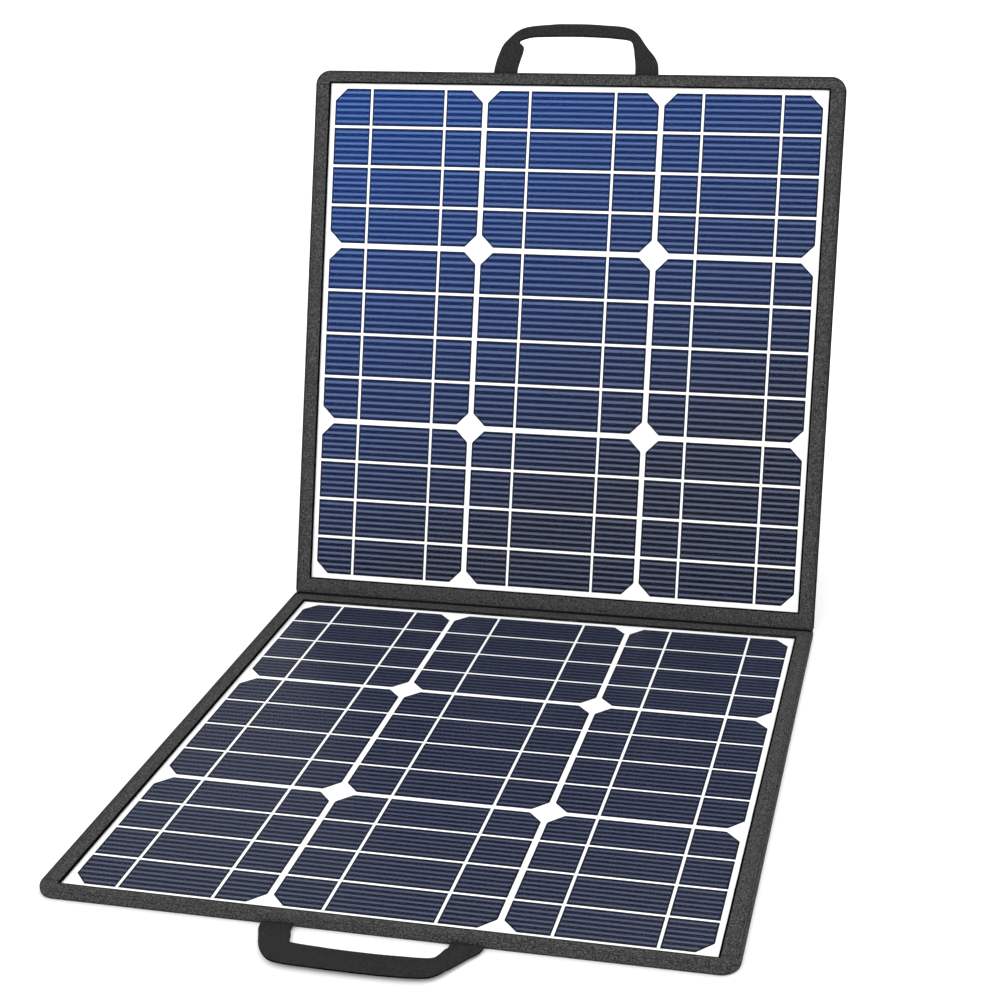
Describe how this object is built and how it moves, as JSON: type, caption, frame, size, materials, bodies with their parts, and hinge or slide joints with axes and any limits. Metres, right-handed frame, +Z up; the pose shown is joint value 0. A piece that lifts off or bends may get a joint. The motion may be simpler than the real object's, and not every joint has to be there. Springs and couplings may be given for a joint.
{
  "type": "folding solar suitcase",
  "caption": "Folding two-leaf solar panel in fabric covers, with carry handles, fold-out kickstand and a back pocket holding an output box.",
  "frame": {"origin": "middle of the lower leaf's underside, on the ground", "axes": "+Z up, +X along the fold to the right as seen from the front, +Y away from the front handle towards the standing leaf"},
  "size_m": [0.42, 0.6243, 0.4319],
  "materials": {
    "binding": "ribbed binding tape",
    "board": "fibre board",
    "border_fabric": "woven polyester, mottled dark grey",
    "case_plastic": "fine spark-eroded black plastic",
    "cell_blue": "silicon cell with printed fingers",
    "circuit": "solder mask",
    "cover_fabric": "woven polyester",
    "film": "clear laminate film",
    "foam": "closed-cell foam tape",
    "hook_loop": "hook and loop tape",
    "laminate_white": "white backsheet",
    "lead_jacket": "flat cable jacket",
    "light_lens": "green light lens",
    "ribbon": "tinned copper ribbon",
    "screw_steel": "blackened steel",
    "socket_steel": "plated steel",
    "webbing": "woven webbing"
  },
  "bodies": {
    "upper_leaf": {"circuit_board": "circuit", "dc_jack": "case_plastic", "flap_hinge_strip": "cover_fabric", "kickstand_hinge_strip": "cover_fabric", "kickstand_straps": "webbing", "leaf_stow_pad": "hook_loop", "leaf_strap_patches": "webbing", "outbox_base": "case_plastic", "outbox_cover": "case_plastic", "outbox_pad": "foam", "outbox_screws": "screw_steel", "output_lead": "lead_jacket", "pocket_front": "cover_fabric", "pocket_gussets": "cover_fabric", "pocket_loop_tape": "hook_loop", "status_light": "light_lens", "upper_back_cover": "cover_fabric", "upper_backsheet": "laminate_white", "upper_busbars": "ribbon", "upper_cells": "cell_blue", "upper_edge_binding": "binding", "upper_end_border": "border_fabric", "upper_flat_lead": "lead_jacket", "upper_front_film": "film", "upper_handle_anchors": "webbing", "upper_hinge_band": "border_fabric", "upper_junction_pad": "case_plastic", "upper_side_borders": "border_fabric", "upper_stiffener": "board", "usb_sockets": "socket_steel"},
    "pocket_flap": {"flap_hook_tape": "hook_loop", "flap_lid": "cover_fabric", "flap_tongue": "cover_fabric"},
    "kickstand": {"kickstand_board": "board", "kickstand_cover": "cover_fabric", "stand_stow_pad": "hook_loop", "stand_strap_patches": "webbing"},
    "lower_leaf": {"lower_back_cover": "cover_fabric", "lower_backsheet": "laminate_white", "lower_busbars": "ribbon", "lower_cells": "cell_blue", "lower_edge_binding": "binding", "lower_end_border": "border_fabric", "lower_flat_lead": "lead_jacket", "lower_front_film": "film", "lower_handle_anchors": "webbing", "lower_hinge_band": "border_fabric", "lower_junction_pad": "case_plastic", "lower_side_borders": "border_fabric", "lower_stiffener": "board"},
    "lower_handle": {"lower_handle": "webbing"},
    "upper_handle": {"upper_handle": "webbing"}
  },
  "joints": [
    {"name": "leaf_fold", "type": "hinge", "parent": "lower_leaf", "child": "upper_leaf", "pos_m": [0, 0.21, 0.00575], "axis": [1, 0, 0], "range_deg": [-70, 110]},
    {"name": "kickstand_swing", "type": "hinge", "parent": "upper_leaf", "child": "kickstand", "pos_m": [0, 0.32073, 0.2847], "axis": [1, 0, 0], "range_deg": [-30, 0], "deforming": ["kickstand_straps"]},
    {"name": "pocket_flap_swing", "type": "hinge", "parent": "upper_leaf", "child": "pocket_flap", "pos_m": [0, 0.35505, 0.38395], "axis": [-1, 0, 0], "range_deg": [-95, 0]},
    {"name": "lower_handle_swing", "type": "hinge", "parent": "lower_leaf", "child": "lower_handle", "pos_m": [0, -0.2113, 0.0017], "axis": [1, 0, 0], "range_deg": [-75, 35]},
    {"name": "upper_handle_swing", "type": "hinge", "parent": "upper_leaf", "child": "upper_handle", "pos_m": [0, 0.3579, 0.40026], "axis": [-1, 0, 0], "range_deg": [-80, 75]}
  ]
}
